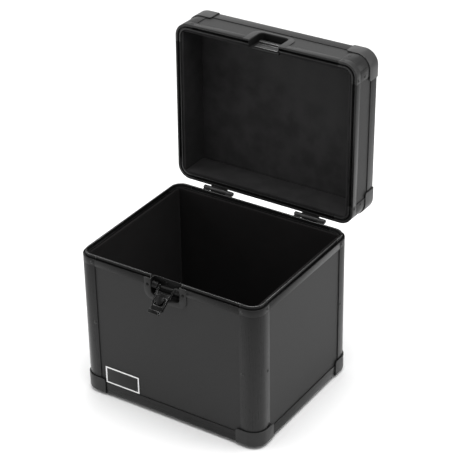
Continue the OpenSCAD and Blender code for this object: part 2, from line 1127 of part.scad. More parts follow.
module wire(path, r, sides) {
  n = len(path);
  points = [
    for (p = path, k = [0 : sides - 1])
      p[0] + r * (cos(360 * k / sides) * p[1] + sin(360 * k / sides) * [1, 0, 0])
  ];
  ends = [
    for (k = [1 : sides - 2]) each [
      [0, k, k + 1],
      [(n - 1) * sides, (n - 1) * sides + k + 1, (n - 1) * sides + k]
    ]
  ];
  walls = [
    for (i = [0 : n - 2], k = [0 : sides - 1]) each [
      [i * sides + k, (i + 1) * sides + k, i * sides + (k + 1) % sides],
      [(i + 1) * sides + k, (i + 1) * sides + (k + 1) % sides, i * sides + (k + 1) % sides]
    ]
  ];
  polyhedron(points = points, faces = concat(ends, walls));
}

module latch_springs() {
  color("silver")
    for (side = [0, 1])
      mirror([side, 0, 0])
        translate([0, latch_y, latch_z])
          wire(spring_path(), wire_r, 6);
}

// ---- Hinges --------------------------------------------------------------------------------------
// Sections look along the hinge axis, which is their origin, first axis towards the rear.

case_knuckle_w = (hinge_w - lid_knuckle_w) / 2 - knuckle_gap;
ledge_top = -barrel_r - 0.3;

module at_hinges() {
  for (side = [-1, 1])
    translate([side * hinge_span / 2, hinge_y, hinge_z])
      children();
}

module hinge_run(from, width) {
  translate([from, 0, 0])
    rotate([90, 0, 90])
      linear_extrude(width)
        children();
}

// Leaf of the wall below the axis: it lies on the rim's flange and steps in to the board.
module leaf_section(flange_low) {
  wall = -hinge_out;
  polygon([
    [wall, ledge_top],
    [wall, flange_low],
    [wall - skin_t, flange_low],
    [wall - skin_t, -leaf_h],
    [wall + leaf_t, -leaf_h],
    [wall + leaf_t, ledge_top - leaf_t],
    [wall + leaf_t, ledge_top]
  ]);
}

module knuckle_section() {
  web_low = -barrel_r + 0.4;
  circle(barrel_r);
  translate([-hinge_out, web_low])
    square([hinge_out, leaf_t]);
  translate([-hinge_out, ledge_top])
    square([leaf_t, web_low + leaf_t - ledge_top]);
}

module hinge_bore() {
  translate([-hinge_w, 0, 0])
    rotate([0, 90, 0])
      cylinder(r = hinge_pin_r + run_gap, h = 2 * hinge_w);
}

// Ledge under the lid's knuckle: the knuckle's lug comes to rest on it.
module stop_ledge_section() {
  translate([-hinge_out, ledge_top - leaf_t])
    square([hinge_out + barrel_r + 2, leaf_t]);
}

module hinge_leaves_case() {
  color("#8a8a8a")
    at_hinges()
      difference() {
        union() {
          hinge_run(-hinge_w / 2, hinge_w)
            leaf_section(-tongue_h / 2 - rim_h);
          hinge_run(-lid_knuckle_w / 2, lid_knuckle_w)
            stop_ledge_section();
          for (from = [-hinge_w / 2, hinge_w / 2 - case_knuckle_w])
            hinge_run(from, case_knuckle_w)
              knuckle_section();
        }
        hinge_bore();
      }
}

// The lid's leaf is drawn with the lid shut, then swung open. Its lug is drawn open.
module hinge_leaves_lid() {
  lug_low = ledge_top + stop_gap;
  color("#8a8a8a")
    at_hinges()
      difference() {
        union() {
          rotate([-lid_open, 0, 0])
            mirror([0, 0, 1]) {
              hinge_run(-lid_knuckle_w / 2, lid_knuckle_w)
                knuckle_section();
              hinge_run(-hinge_w / 2, hinge_w)
                leaf_section(tongue_h / 2 - rim_h - parting_gap);
            }
          hinge_run(-lid_knuckle_w / 2, lid_knuckle_w)
            translate([0, lug_low])
              square([barrel_r + 2, -lug_low]);
        }
        hinge_bore();
      }
}

module hinge_pins() {
  head_t = 1;
  color("silver")
    at_hinges()
      rotate([0, 90, 0]) {
        translate([0, 0, -hinge_w / 2])
          cylinder(r = hinge_pin_r, h = hinge_w);
        for (z = [-hinge_w / 2 - head_t, hinge_w / 2])
          translate([0, 0, z])
            cylinder(r = hinge_pin_r + 1, h = head_t);
      }
}

leaf_rivet_down = 24;
leaf_rivet_in = 7;

module leaf_rivets() {
  for (x = [-hinge_w / 3, hinge_w / 3], z = [-leaf_rivet_down, -leaf_h + leaf_rivet_in])
    translate([x, -hinge_out + leaf_t, z])
      rotate([-90, 0, 0])
        dome(rivet_r, rivet_h);
}

module hinge_rivets_case() {
  color("#6a6a6a")
    at_hinges()
      leaf_rivets();
}

module hinge_rivets_lid() {
  color("#6a6a6a")
    at_hinges()
      rotate([-lid_open, 0, 0])
        mirror([0, 0, 1])
          leaf_rivets();
}

// ---- Handle on the lid's top board ------------------------------------------------------------------

bracket_w = 10;
bracket_t = 2;
bracket_foot = 6;
bracket_len = 32;
bracket_gap = 2;
bow_bend = 12;
stub_x = handle_w / 2 + bow_r + bracket_gap;

module handle_brackets() {
  color("#3c3c3c")
    in_lid()
      for (side = [0, 1])
        mirror([side, 0, 0])
          difference() {
            union() {
              translate([stub_x - bracket_foot, -bracket_len / 2, -bracket_t])
                cube([bracket_w + 2 * bracket_foot, bracket_len, bracket_t]);
              translate([stub_x, 0, 0])
                rotate([90, 0, 90])
                  linear_extrude(bracket_w) {
                    translate([0, -handle_up])
                      circle(2 * bow_r);
                    translate([-2 * bow_r, -handle_up])
                      square([4 * bow_r, handle_up]);
                  }
            }
            translate([stub_x - 1, 0, -handle_up])
              rotate([0, 90, 0])
                cylinder(r = bow_r + run_gap, h = bracket_w + 2);
          }
}

// Places the handle's parts, drawn lying flat towards the rear with the pivot as origin,
// in the lid, let down so that they hang straight.
module in_handle() {
  in_lid()
    translate([0, 0, -handle_up])
      rotate([-handle_hang, 0, 0])
        children();
}

module handle_bow() {
  half = handle_w / 2;
  color("silver")
    in_handle()
      for (side = [0, 1])
        mirror([side, 0, 0]) {
          translate([half, 0, 0])
            rotate([0, 90, 0])
              cylinder(r = bow_r, h = bow_r + 2 * bracket_gap + bracket_w);
          translate([half + bow_r + 2 * bracket_gap + bracket_w - eps, 0, 0])
            rotate([0, 90, 0])
              cylinder(r = bow_r + 1.5, h = 1.5);
          translate([half, 0, 0])
            sphere(bow_r);
          translate([half, 0, 0])
            rotate([-90, 0, 0])
              cylinder(r = bow_r, h = handle_reach - bow_bend);
          translate([half - bow_bend, handle_reach - bow_bend, 0])
            rotate_extrude(angle = 90)
              translate([bow_bend, 0])
                circle(bow_r);
          translate([-eps, handle_reach, 0])
            rotate([0, 90, 0])
              cylinder(r = bow_r, h = half - bow_bend + eps);
        }
}

// Moulded sleeve on the bow, with rounded ends and shallow finger rings.
module handle_grip() {
  ring_n = 5;
  ring_r = 1.2;
  color("#1c1c1c")
    in_handle()
      translate([0, handle_reach, 0])
        rotate([0, 90, 0])
          rotate_extrude()
            difference() {
              union() {
                translate([0, -grip_len / 2 + 2])
                  square([grip_r, grip_len - 4]);
                translate([0, -grip_len / 2])
                  square([grip_r - 2, grip_len]);
                for (end = [-1, 1])
                  translate([grip_r - 2, end * (grip_len / 2 - 2)])
                    circle(2);
              }
              translate([0, -grip_len / 2 - 1])
                square([bow_r + run_gap, grip_len + 2]);
              for (i = [0 : ring_n - 1])
                translate([grip_r + ring_r / 2, (i - (ring_n - 1) / 2) * grip_len / 6])
                  circle(ring_r);
            }
}

// ---- Output --------------------------------------------------------------------------------------------

base_panel();
front_panel();
rear_panel();
left_panel();
right_panel();
corner_posts();
base_edge_front();
base_edge_rear();
base_edge_left();
base_edge_right();
base_corner_caps();
rim_front();
rim_rear();
rim_left();
rim_right();
rim_corners();
case_rivets();
case_lining();
floor_pad();
feet();
foot_screws();
badge_plate();
latch_dish();
latch_dish_rivets();
latch_pin();
latch_springs();
latch_arm();
latch_hook();
latch_cam();
wing_pins();
wing_left();
wing_right();
hinge_leaves_case();
hinge_pins();
hinge_rivets_case();
lid_panel();
lid_front_panel();
lid_rear_panel();
lid_left_panel();
lid_right_panel();
lid_posts();
lid_edge_front();
lid_edge_rear();
lid_edge_left();
lid_edge_right();
lid_corner_caps();
lid_rim_front();
lid_rim_rear();
lid_rim_left();
lid_rim_right();
lid_rim_corners();
lid_rivets();
lid_lining();
catch_dish();
catch_strike();
hinge_leaves_lid();
hinge_rivets_lid();
handle_brackets();
handle_bow();
handle_grip();
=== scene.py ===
import json
import math

import bpy
from mathutils import Matrix, Vector, noise

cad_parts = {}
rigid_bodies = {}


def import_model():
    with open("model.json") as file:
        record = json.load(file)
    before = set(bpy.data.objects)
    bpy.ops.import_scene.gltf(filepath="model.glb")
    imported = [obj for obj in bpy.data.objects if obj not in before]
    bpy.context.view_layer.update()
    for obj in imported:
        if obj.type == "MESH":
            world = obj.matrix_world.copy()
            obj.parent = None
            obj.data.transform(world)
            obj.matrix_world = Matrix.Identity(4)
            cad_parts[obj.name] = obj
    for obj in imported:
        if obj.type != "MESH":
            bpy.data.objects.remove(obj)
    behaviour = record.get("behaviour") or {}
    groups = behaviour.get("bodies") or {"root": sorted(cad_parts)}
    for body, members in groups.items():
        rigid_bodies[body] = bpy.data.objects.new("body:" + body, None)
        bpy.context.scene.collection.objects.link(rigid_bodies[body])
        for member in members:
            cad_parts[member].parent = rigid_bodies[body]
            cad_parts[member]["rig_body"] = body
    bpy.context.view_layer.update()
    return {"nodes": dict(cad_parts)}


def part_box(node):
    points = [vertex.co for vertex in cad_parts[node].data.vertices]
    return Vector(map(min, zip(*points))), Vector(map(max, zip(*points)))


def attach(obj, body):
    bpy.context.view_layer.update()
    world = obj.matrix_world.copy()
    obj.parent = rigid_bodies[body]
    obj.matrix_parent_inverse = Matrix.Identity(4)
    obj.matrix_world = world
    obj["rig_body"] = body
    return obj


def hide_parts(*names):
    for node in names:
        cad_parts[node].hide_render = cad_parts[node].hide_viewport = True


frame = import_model()

# ---- Studio ------------------------------------------------------------------------------
# A white room with soft lamps. The camera stands where the photograph's did, with the
# same long lens and the same slight tilt.

CAMERA_PLACE = Vector((1.39014, -2.06558, 1.72844))
CAMERA_AZIMUTH = math.radians(33.33)
CAMERA_ELEVATION = math.radians(29.94)
CAMERA_ROLL = math.radians(-1.03)
PICTURE_SIDE = 460
FOCAL_PIXELS = 1694.84
ROOM_LIGHT = 0.4


def deselect_all():
    if bpy.context.object and bpy.context.object.mode != "OBJECT":
        bpy.ops.object.mode_set(mode="OBJECT")
    bpy.ops.object.select_all(action="DESELECT")


def select_only(piece):
    deselect_all()
    piece.select_set(True)
    bpy.context.view_layer.objects.active = piece


def place_camera():
    """Stands the camera in its place, turned by its azimuth, elevation and roll."""
    back = Vector((
        math.sin(CAMERA_AZIMUTH) * math.cos(CAMERA_ELEVATION),
        -math.cos(CAMERA_AZIMUTH) * math.cos(CAMERA_ELEVATION),
        math.sin(CAMERA_ELEVATION),
    ))
    level = Vector((math.cos(CAMERA_AZIMUTH), math.sin(CAMERA_AZIMUTH), 0))
    upright = back.cross(level)
    right = math.cos(CAMERA_ROLL) * level + math.sin(CAMERA_ROLL) * upright
    up = -math.sin(CAMERA_ROLL) * level + math.cos(CAMERA_ROLL) * upright
    axes = Matrix((right, up, back)).transposed().to_4x4()
    bpy.ops.object.camera_add()
    camera = bpy.context.object
    camera.name = "photo_camera"
    camera.matrix_world = Matrix.Translation(CAMERA_PLACE) @ axes
    camera.data.sensor_width = 36
    camera.data.lens = FOCAL_PIXELS / PICTURE_SIDE * camera.data.sensor_width
    camera.data.clip_end = 50
    bpy.context.scene.camera = camera


def soft_lamp(name, place, aim, side, power):
    bpy.ops.object.light_add(type="AREA", location=place)
    lamp = bpy.context.object
    lamp.name = name
    lamp.data.shape = "SQUARE"
    lamp.data.size = side
    lamp.data.energy = power
    lamp.rotation_euler = (Vector(aim) - Vector(place)).to_track_quat("-Z", "Y").to_euler()


deselect_all()
place_camera()
soft_lamp("lamp_above", place=(0.2, 0.1, 2.6), aim=(0, 0.1, 0.3), side=2.2, power=83)
soft_lamp("lamp_right", place=(2.6, 1.2, 1.5), aim=(0, 0, 0.3), side=1.8, power=24)
soft_lamp("lamp_left", place=(-2.7, -1.0, 1.5), aim=(0, 0, 0.3), side=2.2, power=40)
soft_lamp("lamp_behind", place=(-1.6, 2.6, 2.0), aim=(0, 0, 0.4), side=2.6, power=14)

room = bpy.data.worlds.new("white_room")
room.use_nodes = True
room.node_tree.nodes["Background"].inputs["Color"].default_value = (1, 1, 1, 1)
room.node_tree.nodes["Background"].inputs["Strength"].default_value = ROOM_LIGHT
bpy.context.scene.world = room
bpy.context.scene.view_settings.view_transform = "Standard"


# ---- Boards ------------------------------------------------------------------------------
# The walls, base and top are 7 mm plywood faced with a black laminate that has a fine
# pebble. They slide into the profiles, and the two front boards are cut out for the
# dishes. The open lid's boards have a finish of their own that is painted paler: painted
# light, for the light that falls on the open lid.

BOARD_GREY = 0.021
# The open lid's laminate is painted paler, as painted light.
LID_BOARD_PAINTED_LIT_GREY = 0.030


class Value:
    """One output of a node. Sums and products on it add Math nodes."""

    def __init__(self, finish, socket):
        self.finish = finish
        self.socket = socket

    def math(self, operation, first, second):
        return self.finish.node("ShaderNodeMath", {"operation": operation}, {0: first, 1: second})

    def __add__(self, other):
        return self.math("ADD", self, other)

    def __radd__(self, other):
        return self.math("ADD", other, self)

    def __sub__(self, other):
        return self.math("SUBTRACT", self, other)

    def __rsub__(self, other):
        return self.math("SUBTRACT", other, self)

    def __mul__(self, other):
        return self.math("MULTIPLY", self, other)

    def __rmul__(self, other):
        return self.math("MULTIPLY", other, self)

    def ramp(self, low, high):
        """0 below low, 1 above high, and smooth between."""
        return self.finish.node(
            "ShaderNodeMapRange", {"interpolation_type": "SMOOTHSTEP"},
            {"Value": self, "From Min": low, "From Max": high},
        )


class Finish:
    """A material in the making: its nodes and its main shader."""

    def __init__(self, name, constants):
        self.material = bpy.data.materials.new(name)
        self.material.use_nodes = True
        self.tree = self.material.node_tree
        self.shader = self.tree.nodes["Principled BSDF"]
        for socket, value in constants.items():
            self.shader.inputs[socket].default_value = value

    def node(self, kind, settings=None, sockets=None, output=0):
        made = self.tree.nodes.new(kind)
        for name, value in (settings or {}).items():
            setattr(made, name, value)
        for name, value in (sockets or {}).items():
            self.feed(made.inputs[name], value)
        return Value(self, made.outputs[output])

    def feed(self, socket, value):
        if isinstance(value, Value):
            self.tree.links.new(value.socket, socket)
        else:
            socket.default_value = value

    def paint(self, **sockets):
        """Feeds the shader, as in paint(Base_Color=..., Roughness=...)."""
        for name, value in sockets.items():
            self.feed(self.shader.inputs[name.replace("_", " ")], value)

    def own(self):
        """The piece's own coordinates, in metres."""
        return self.node("ShaderNodeTexCoord", output="Object")

    def along(self, axis):
        """One of those coordinates: X, Y or Z."""
        return self.node("ShaderNodeSeparateXYZ", None, {"Vector": self.own()}, axis)

    def place(self, size, stretch=(1, 1, 1)):
        """The piece's own coordinates in units of size metres, drawn out by stretch."""
        scale = [1 / (size * s) for s in stretch]
        return self.node("ShaderNodeMapping", None, {"Vector": self.own(), "Scale": scale})

    def noise(self, size, stretch=(1, 1, 1), detail=2.0):
        return self.node(
            "ShaderNodeTexNoise", None,
            {"Vector": self.place(size, stretch), "Scale": 1.0, "Detail": detail}, "Fac",
        )

    def cells(self, size):
        return self.node(
            "ShaderNodeTexVoronoi", {"feature": "SMOOTH_F1"},
            {"Vector": self.place(size), "Scale": 1.0}, "Distance",
        )

    def blend(self, factor, first, second):
        """The second colour over the first."""
        return self.node(
            "ShaderNodeMix", {"data_type": "RGBA"}, {0: factor, 6: first, 7: second}, 2
        )

    def bump(self, height, depth, strength=1.0):
        """Raises the surface by up to depth metres."""
        return self.node(
            "ShaderNodeBump", None,
            {"Height": height, "Distance": depth, "Strength": strength}, "Normal",
        )


def grey(level):
    return (level, level, level, 1)


def dress(node, finish):
    """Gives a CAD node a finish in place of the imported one."""
    mesh = frame["nodes"][node].data
    mesh.materials.clear()
    mesh.materials.append(finish.material)


def laminate_finish(name, level):
    """Pebbled laminate, cloudy from handling and dust."""
    board = Finish(name, {"Specular IOR Level": 0.23})
    pebble = board.cells(0.0011) * 0.6 + board.noise(0.0006) * 0.4
    cloud = board.noise(0.035, detail=3.0) * 0.5 + board.noise(0.0045) * 0.5
    shade = board.blend(cloud.ramp(0.3, 0.7), grey(level * 0.84), grey(level * 1.12))
    board.paint(
        Base_Color=board.blend(pebble.ramp(0.25, 0.6), shade, grey(level * 0.8)),
        Roughness=0.46 + 0.1 * cloud + 0.06 * pebble,
        Normal=board.bump(pebble, 0.00012, 0.6),
    )
    return board


laminate = laminate_finish("black_laminate", BOARD_GREY)
for board_node in ("base_panel", "front_panel", "rear_panel", "left_panel", "right_panel"):
    dress(board_node, laminate)
lid_laminate = laminate_finish("black_laminate_painted_lit_lid", LID_BOARD_PAINTED_LIT_GREY)
dress("lid_panel", lid_laminate)
for wall in ("front", "rear", "left", "right"):
    dress("lid_" + wall + "_panel", lid_laminate)


# ---- Corner posts ------------------------------------------------------------------------
# Four upright aluminium extrusions in the body and four in the lid, round outside, with a
# second wall inside that grips the boards. Dark anodised, with the faint lines of the die
# along their length.

UPRIGHT = (1, 1, 60)
ALONG_X = (60, 1, 1)
ALONG_Y = (1, 60, 1)
DIE_LINE = 0.0007
POST_GREY = 0.0115
# The lid's posts are painted paler than the body's: painted light on the open lid.
LID_POST_PAINTED_LIT_GREY = 0.018


def anodised_finish(name, grain, level, gloss=0.22):
    """Dark anodised aluminium, with its die lines drawn out along the grain."""
    profile = Finish(name, {"Specular IOR Level": gloss})
    lines = profile.noise(DIE_LINE, grain, 3.0)
    cloud = profile.noise(0.02)
    profile.paint(
        Base_Color=profile.blend(lines, grey(level * 0.85), grey(level * 1.15)),
        Roughness=0.21 + 0.1 * lines + 0.05 * cloud,
        Normal=profile.bump(lines, 0.00004, 0.5),
    )
    return profile


def softened(node, finish, edge=0.0004, segments=2, worn_edges=None, worn_from=0.0):
    """A copy of a CAD node with its sharp edges broken, which stands for the node. From a
    height up, the edges may be worn to another finish."""
    source = frame["nodes"][node]
    piece = bpy.data.objects.new(node + "_piece", source.data.copy())
    bpy.context.scene.collection.objects.link(piece)
    select_only(piece)
    bpy.ops.object.mode_set(mode="EDIT")
    bpy.ops.mesh.select_all(action="SELECT")
    bpy.ops.mesh.remove_doubles(threshold=0.000002)
    bpy.ops.mesh.dissolve_limited(angle_limit=math.radians(0.3))
    bpy.ops.object.mode_set(mode="OBJECT")
    rounding = piece.modifiers.new("edges", "BEVEL")
    rounding.width = edge
    rounding.segments = segments
    rounding.limit_method = "ANGLE"
    rounding.angle_limit = math.radians(40)
    rounding.miter_outer = "MITER_ARC"
    piece.data.materials.clear()
    piece.data.materials.append(finish.material)
    if worn_edges:
        piece.data.materials.append(worn_edges.material)
        rounding.material = 1
    bpy.ops.object.modifier_apply(modifier=rounding.name)
    for face in piece.data.polygons:
        if face.center.z < worn_from:
            face.material_index = 0
    bpy.ops.object.shade_smooth_by_angle(angle=math.radians(38))
    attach(piece, source["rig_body"])
    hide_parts(node)


softened("corner_posts", anodised_finish("anodised_upright", UPRIGHT, POST_GREY))
softened("lid_posts", anodised_finish("painted_lit_anodised_lid_post", ALONG_Y, LID_POST_PAINTED_LIT_GREY))


# ---- Base and top edge profiles ----------------------------------------------------------
# Half-round-edged aluminium angles along the base and the lid's top, cut to length between
# the corner posts, with the die lines along each run. The open lid's sides stand upright.

BASE_EDGE_GREY = 0.0105
# The lid's edge profiles are painted paler than the base's: painted light on the open lid.
LID_EDGE_PAINTED_LIT_GREY = 0.019

anodised_x = anodised_finish("anodised_along_x", ALONG_X, BASE_EDGE_GREY)
anodised_y = anodised_finish("anodised_along_y", ALONG_Y, BASE_EDGE_GREY)
lit_lid_anodised_x = anodised_finish("painted_lit_anodised_lid_along_x", ALONG_X, LID_EDGE_PAINTED_LIT_GREY)
lit_lid_anodised_z = anodised_finish("painted_lit_anodised_lid_upright", UPRIGHT, LID_EDGE_PAINTED_LIT_GREY)
for wall in ("front", "rear"):
    softened("base_edge_" + wall, anodised_x)
    softened("lid_edge_" + wall, lit_lid_anodised_x)
for wall in ("left", "right"):
    softened("base_edge_" + wall, anodised_y)
    softened("lid_edge_" + wall, lit_lid_anodised_z)


# ---- Corner caps -------------------------------------------------------------------------
# Pressed steel caps over the four lowest corners and the lid's four outer ones, smooth
# and satin coated, with rounded free corners.

CAP_GREY = 0.016
# The lid's caps are painted paler than the base's: painted light on the open lid.
LID_CAP_PAINTED_LIT_GREY = 0.036
CAP_ROUGHNESS = 0.28
CAP_EDGE = 0.0006


def coated_steel_finish(name, level, rough=0.34, gloss=0.3):
    """A smooth coat with a slight orange peel."""
    steel = Finish(name, {"Specular IOR Level": gloss})
    peel = steel.noise(0.0022, detail=1.0)
    cloud = steel.noise(0.018)
    steel.paint(
        Base_Color=steel.blend(cloud, grey(level * 0.9), grey(level * 1.1)),
        Roughness=rough + 0.1 * cloud + 0.03 * peel,
        Normal=steel.bump(peel, 0.00003, 0.5),
    )
    return steel


cap_finish = coated_steel_finish("satin_coated_steel", CAP_GREY, rough=CAP_ROUGHNESS)
softened("base_corner_caps", cap_finish, CAP_EDGE, segments=3)
lit_lid_cap_finish = coated_steel_finish("painted_lit_satin_coated_lid_steel", LID_CAP_PAINTED_LIT_GREY, rough=CAP_ROUGHNESS)
softened("lid_corner_caps", lit_lid_cap_finish, CAP_EDGE, segments=3)


# ---- Closing rims ------------------------------------------------------------------------
# Aluminium profiles round both mouths, joined by bent corner pieces. The body's has a
# tongue that the lid's groove closes over, and use has rubbed the tongue's edges bright.

PARTING_Z = 0.268
RIM_GREY = 0.004
RIM_GLOSS = 0.18
# The lid's rims are painted paler than the body's: painted light on the open lid.
LID_RIM_PAINTED_LIT_GREY = 0.013
LID_RIM_EDGE = 0.0003


def bright_steel_finish(name, level, rough=0.3, grain=(1, 1, 1)):
    """Bare metal with fine scratches and a little cloud."""
    steel = Finish(name, {"Metallic": 1.0})
    lines = steel.noise(0.0005, grain, 3.0)
    cloud = steel.noise(0.006)
    steel.paint(
        Base_Color=steel.blend(cloud, grey(level * 0.85), grey(level * 1.1)),
        Roughness=rough + 0.14 * lines + 0.08 * cloud,
        Normal=steel.bump(lines, 0.00002, 0.4),
    )
    return steel


rim_finish_x = anodised_finish("anodised_rim_x", ALONG_X, RIM_GREY, gloss=RIM_GLOSS)
rim_finish_y = anodised_finish("anodised_rim_y", ALONG_Y, RIM_GREY, gloss=RIM_GLOSS)
lit_lid_rim_finish_x = anodised_finish("painted_lit_anodised_lid_rim_x", ALONG_X, LID_RIM_PAINTED_LIT_GREY)
lit_lid_rim_finish_z = anodised_finish("painted_lit_anodised_lid_rim_z", UPRIGHT, LID_RIM_PAINTED_LIT_GREY)
rubbed_edges = bright_steel_finish("rubbed_edges", 0.17)
for wall in ("front", "rear"):
    softened("rim_" + wall, rim_finish_x, worn_edges=rubbed_edges, worn_from=PARTING_Z)
    softened("lid_rim_" + wall, lit_lid_rim_finish_x, LID_RIM_EDGE)
for wall in ("left", "right"):
    softened("rim_" + wall, rim_finish_y, worn_edges=rubbed_edges, worn_from=PARTING_Z)
    softened("lid_rim_" + wall, lit_lid_rim_finish_z, LID_RIM_EDGE)
rim_corner_finish = coated_steel_finish("satin_rim_corner", 0.006, gloss=0.22)
softened("rim_corners", rim_corner_finish, worn_edges=rubbed_edges, worn_from=PARTING_Z)
# The lid's rim corners are painted paler than the body's, as painted light.
lit_lid_rim_corner_finish = coated_steel_finish("painted_lit_satin_lid_rim_corner", 0.018)
softened("lid_rim_corners", lit_lid_rim_corner_finish, LID_RIM_EDGE)


# ---- Rivets ------------------------------------------------------------------------------
# Black pop rivets hold the posts and rim corners to the boards. Each low domed head has the
# dimple that the broken mandrel leaves.

CASE_HALF = Vector((0.180, 0.150))
SHUT_TOP_Z = 0.339
HINGE_AXIS = Vector((0, 0.158, 0.27075))
LID_OPENING = math.radians(91)
RIVET_FROM_CORNER = 0.0305
POST_RIVET_Z = 0.1415
RIM_RIVET_Z = 0.2615
LID_POST_RIVET_BELOW_TOP = 0.0428
LID_RIM_RIVET_BELOW_TOP = 0.0641
RIVET_OUTLINE = (
    (0, 0.00045), (0.0007, 0.00045), (0.0010, 0.00075), (0.0012, 0.00105), (0.0017, 0.0010),
    (0.0023, 0.0008), (0.0028, 0.00045), (0.0031, 0), (0, -0.0002),
)


def tidy_faces(piece, smooth=38):
    """Merges doubled points, points the faces outwards and smooths bends under an angle."""
    select_only(piece)
    bpy.ops.object.mode_set(mode="EDIT")
    bpy.ops.mesh.select_all(action="SELECT")
    bpy.ops.mesh.remove_doubles(threshold=0.000002)
    bpy.ops.mesh.normals_make_consistent(inside=False)
    bpy.ops.object.mode_set(mode="OBJECT")
    bpy.ops.object.shade_smooth_by_angle(angle=math.radians(smooth))


def turned(name, outline, steps=32, closed=False):
    """A lathe-turned piece about Z, from the (radius, height) points of its outline."""
    deselect_all()
    mesh = bpy.data.meshes.new(name)
    edges = [(i, i + 1) for i in range(len(outline) - 1)]
    if closed:
        edges.append((len(outline) - 1, 0))
    mesh.from_pydata([(radius, 0, height) for radius, height in outline], edges, [])
    piece = bpy.data.objects.new(name, mesh)
    bpy.context.scene.collection.objects.link(piece)
    select_only(piece)
    lathe = piece.modifiers.new("lathe", "SCREW")
    lathe.steps = lathe.render_steps = steps
    lathe.use_merge_vertices = True
    lathe.merge_threshold = 0.000001
    bpy.ops.object.modifier_apply(modifier=lathe.name)
    tidy_faces(piece)
    return piece


def copies(name, pattern, places):
    """One piece out of copies of the pattern, which is used up, at each of the places."""
    made = []
    for place in places:
        part = bpy.data.objects.new(name, pattern.data.copy())
        part.data.transform(place)
        bpy.context.scene.collection.objects.link(part)
        made.append(part)
    bpy.data.objects.remove(pattern)
    deselect_all()
    for part in made:
        part.select_set(True)
    bpy.context.view_layer.objects.active = made[0]
    if len(made) > 1:
        bpy.ops.object.join()
    made[0].name = name
    return made[0]


def finish_piece(piece, finish, node):
    """Dresses a new piece, which rides with the node that it stands for."""
    piece.data.materials.clear()
    piece.data.materials.append(finish.material)
    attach(piece, frame["nodes"][node]["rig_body"])
    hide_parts(node)


# From the shut lid's place to the open lid's.
OPENED = (
    Matrix.Translation(HINGE_AXIS) @ Matrix.Rotation(-LID_OPENING, 4, "X")
    @ Matrix.Translation(-HINGE_AXIS)
)


def corner_rivet_places(heights):
    """Two rivets at each corner, one to each wall, at every height."""
    places = []
    for z in heights:
        for x_sign in (-1, 1):
            for y_sign in (-1, 1):
                x = x_sign * (CASE_HALF.x - RIVET_FROM_CORNER)
                y = y_sign * (CASE_HALF.y - RIVET_FROM_CORNER)
                places.append(
                    Matrix.Translation((x, y_sign * CASE_HALF.y, z))
                    @ Matrix.Rotation(math.radians(-90 * y_sign), 4, "X")
                )
                places.append(
                    Matrix.Translation((x_sign * CASE_HALF.x, y, z))
                    @ Matrix.Rotation(math.radians(90 * x_sign), 4, "Y")
                )
    return places


rivet_finish = coated_steel_finish("black_rivet", 0.02, rough=0.3)
case_rivet_places = corner_rivet_places((POST_RIVET_Z, RIM_RIVET_Z))
case_rivets = copies(
    "case_rivet_heads", turned("rivet", RIVET_OUTLINE, steps=24), case_rivet_places
)
finish_piece(case_rivets, rivet_finish, "case_rivets")
lid_rivet_heights = [
    SHUT_TOP_Z - below for below in (LID_POST_RIVET_BELOW_TOP, LID_RIM_RIVET_BELOW_TOP)
]
lid_rivet_places = [OPENED @ place for place in corner_rivet_places(lid_rivet_heights)]
lid_rivets = copies(
    "lid_rivet_heads", turned("rivet", RIVET_OUTLINE, steps=24), lid_rivet_places
)
finish_piece(lid_rivets, rivet_finish, "lid_rivets")


# ---- Lining ------------------------------------------------------------------------------
# Sheets of firm foam with a dull black cloth face, glued to the boards inside the body and
# lid. They butt in square inside corners and are cut out round the two dishes.

LINING_BACK = 0.01045
LINING_FACE = 0.0155
LONG_SHEET_TUCK = 0.0011
SHORT_SHEET_PLAY = 0.0002
PAD_PLAY = 0.0003
BASE_TOP_Z = 0.0072
PAD_FACE_Z = 0.0100
LINING_TOP_Z = 0.2664
LID_LINING_LOW_Z = 0.2700
LID_PAD_FACE_Z = 0.3271
LID_BOARD_Z = 0.3318
NOTCH_HALF = 0.0308
LATCH_NOTCH = 0.0312
CATCH_NOTCH = 0.0388
POST_CENTRE = 0.025
POST_INSIDE = 0.01445
GRID_COLUMN = 0.0077
GRID_ROW = 0.0078
SOFT_EDGE = 0.0011
RIPPLE = 0.00035
RIPPLES_PER_METRE = 14


def cloth_finish(name, level, painted_corner_light=0.0, warmth=1.0):
    """Dull napped cloth. The third argument is how much paler the open lid's upper right
    corner is painted, a painted pool of light."""
    cloth = Finish(name, {"Roughness": 0.95, "Specular IOR Level": 0.12, "Sheen Weight": 0.05})
    nap = cloth.noise(0.0009, detail=3.0)
    cloud = cloth.noise(0.03, detail=3.0)
    dark, pale = [
        (share * level * warmth, share * level * 0.97, share * level, 1) for share in (0.65, 1.35)
    ]
    shade = cloth.blend(0.6 * cloud.ramp(0.3, 0.7) + 0.4 * nap, dark, pale)
    # A painted pool of light in the open lid's upper right corner.
    if painted_corner_light:
        corner = (cloth.along("X") + 1.6 * cloth.along("Z") + 0.1 * cloud).ramp(0.66, 1.0)
        shade = cloth.blend(corner * 0.8, shade, grey(level * (1 + painted_corner_light)))
    cloth.paint(Base_Color=shade, Normal=cloth.bump(nap, 0.0004, 0.8))
    return cloth


